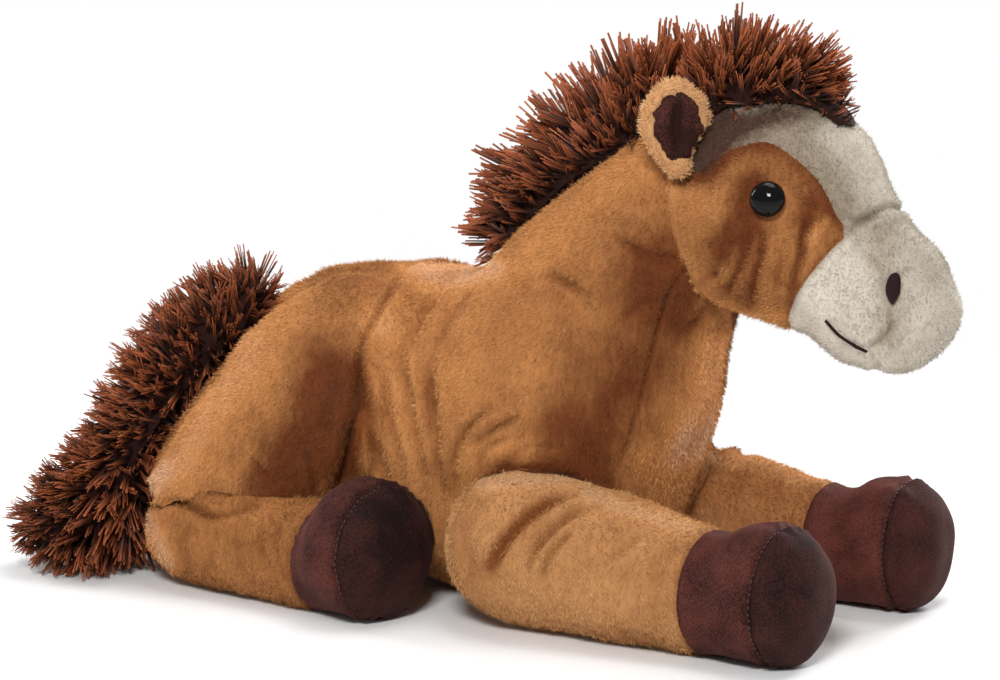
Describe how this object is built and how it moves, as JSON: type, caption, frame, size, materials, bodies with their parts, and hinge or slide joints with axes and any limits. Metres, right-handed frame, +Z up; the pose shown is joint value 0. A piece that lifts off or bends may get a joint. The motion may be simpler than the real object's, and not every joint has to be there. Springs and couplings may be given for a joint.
{
  "type": "plush horse",
  "caption": "Plush horse lying down with its legs folded, with long-pile mane and tail; its head, legs, tail and ears swing on sewn joints.",
  "frame": {"origin": "on the floor under the middle of the barrel, where the belly rests", "axes": "+X the way the horse faces, +Y its left side, +Z up"},
  "size_m": [0.51, 0.2672, 0.294],
  "materials": {
    "tan_plush": "short pile plush, brushed",
    "light_plush": "short pile plush, lighter and creased",
    "white_plush": "short pile plush with grey shading",
    "long_pile": "long clumped pile",
    "hoof_velour": "knit velour",
    "sole_velour": "knit velour, dark",
    "ear_velour": "knit velour",
    "filling": "polyester fibre",
    "thread": "satin-stitched thread",
    "eye_black": "polished",
    "washer_plastic": "moulded"
  },
  "bodies": {
    "torso": {"rump_cover_right": "tan_plush", "rump_cover_left": "tan_plush", "barrel_cover": "light_plush", "chest_gusset": "tan_plush", "shoulder_cover_right": "tan_plush", "shoulder_cover_left": "tan_plush", "body_stuffing": "filling", "mane": "long_pile"},
    "foreleg_right": {"foreleg_cover_right": "light_plush", "foreleg_hoof_wall_right": "hoof_velour", "foreleg_hoof_sole_right": "sole_velour", "foreleg_stuffing_right": "filling"},
    "foreleg_left": {"foreleg_cover_left": "light_plush", "foreleg_hoof_wall_left": "hoof_velour", "foreleg_hoof_sole_left": "sole_velour", "foreleg_stuffing_left": "filling"},
    "shank_right": {"shank_cover_right": "tan_plush", "shank_hoof_wall_right": "hoof_velour", "shank_hoof_sole_right": "sole_velour", "shank_stuffing_right": "filling"},
    "shank_left": {"shank_cover_left": "tan_plush", "shank_hoof_wall_left": "hoof_velour", "shank_hoof_sole_left": "sole_velour", "shank_stuffing_left": "filling"},
    "tail": {"tail": "long_pile"},
    "head": {"blaze_cover": "white_plush", "cheek_cover_right": "tan_plush", "cheek_cover_left": "tan_plush", "muzzle_cover": "white_plush", "nostril_right": "thread", "nostril_left": "thread", "mouth_right": "thread", "mouth_left": "thread", "head_stuffing": "filling", "forelock": "long_pile", "eye_right": "eye_black", "eye_left": "eye_black", "eye_washer_right": "washer_plastic", "eye_washer_left": "washer_plastic"},
    "ear_right": {"ear_right": "light_plush", "ear_lining_right": "ear_velour"},
    "ear_left": {"ear_left": "light_plush", "ear_lining_left": "ear_velour"}
  },
  "joints": [
    {"name": "head_turn", "type": "hinge", "parent": "torso", "child": "head", "pos_m": [0.166, 0, 0.208], "axis": [0.5299, 0, 0.848], "range_deg": [-20, 20], "stiffness_Nm_per_rad": 0.4},
    {"name": "ear_right_fold", "type": "hinge", "parent": "head", "child": "ear_right", "pos_m": [0.12965, -0.04, 0.22788], "axis": [0.7629, 0.6402, 0.09], "range_deg": [-8, 28], "stiffness_Nm_per_rad": 0.02},
    {"name": "ear_left_fold", "type": "hinge", "parent": "head", "child": "ear_left", "pos_m": [0.12965, 0.04, 0.22788], "axis": [-0.7629, 0.6402, -0.09], "range_deg": [-8, 28], "stiffness_Nm_per_rad": 0.02},
    {"name": "foreleg_right_swing", "type": "hinge", "parent": "torso", "child": "foreleg_right", "pos_m": [0.056, -0.064, 0.0405], "axis": [0, 0, 1], "range_deg": [-20, 8], "stiffness_Nm_per_rad": 0.3},
    {"name": "foreleg_left_swing", "type": "hinge", "parent": "torso", "child": "foreleg_left", "pos_m": [0.056, 0.064, 0.0405], "axis": [0, 0, 1], "range_deg": [-8, 20], "stiffness_Nm_per_rad": 0.3},
    {"name": "shank_right_swing", "type": "hinge", "parent": "torso", "child": "shank_right", "pos_m": [-0.138, -0.08, 0.0295], "axis": [0, 0, 1], "range_deg": [-25, 0], "stiffness_Nm_per_rad": 0.3},
    {"name": "shank_left_swing", "type": "hinge", "parent": "torso", "child": "shank_left", "pos_m": [-0.138, 0.08, 0.0295], "axis": [0, 0, 1], "range_deg": [0, 25], "stiffness_Nm_per_rad": 0.3},
    {"name": "tail_swing", "type": "hinge", "parent": "torso", "child": "tail", "pos_m": [-0.118, 0, 0.15], "axis": [0, 0, 1], "range_deg": [-30, 0], "stiffness_Nm_per_rad": 0.08}
  ]
}
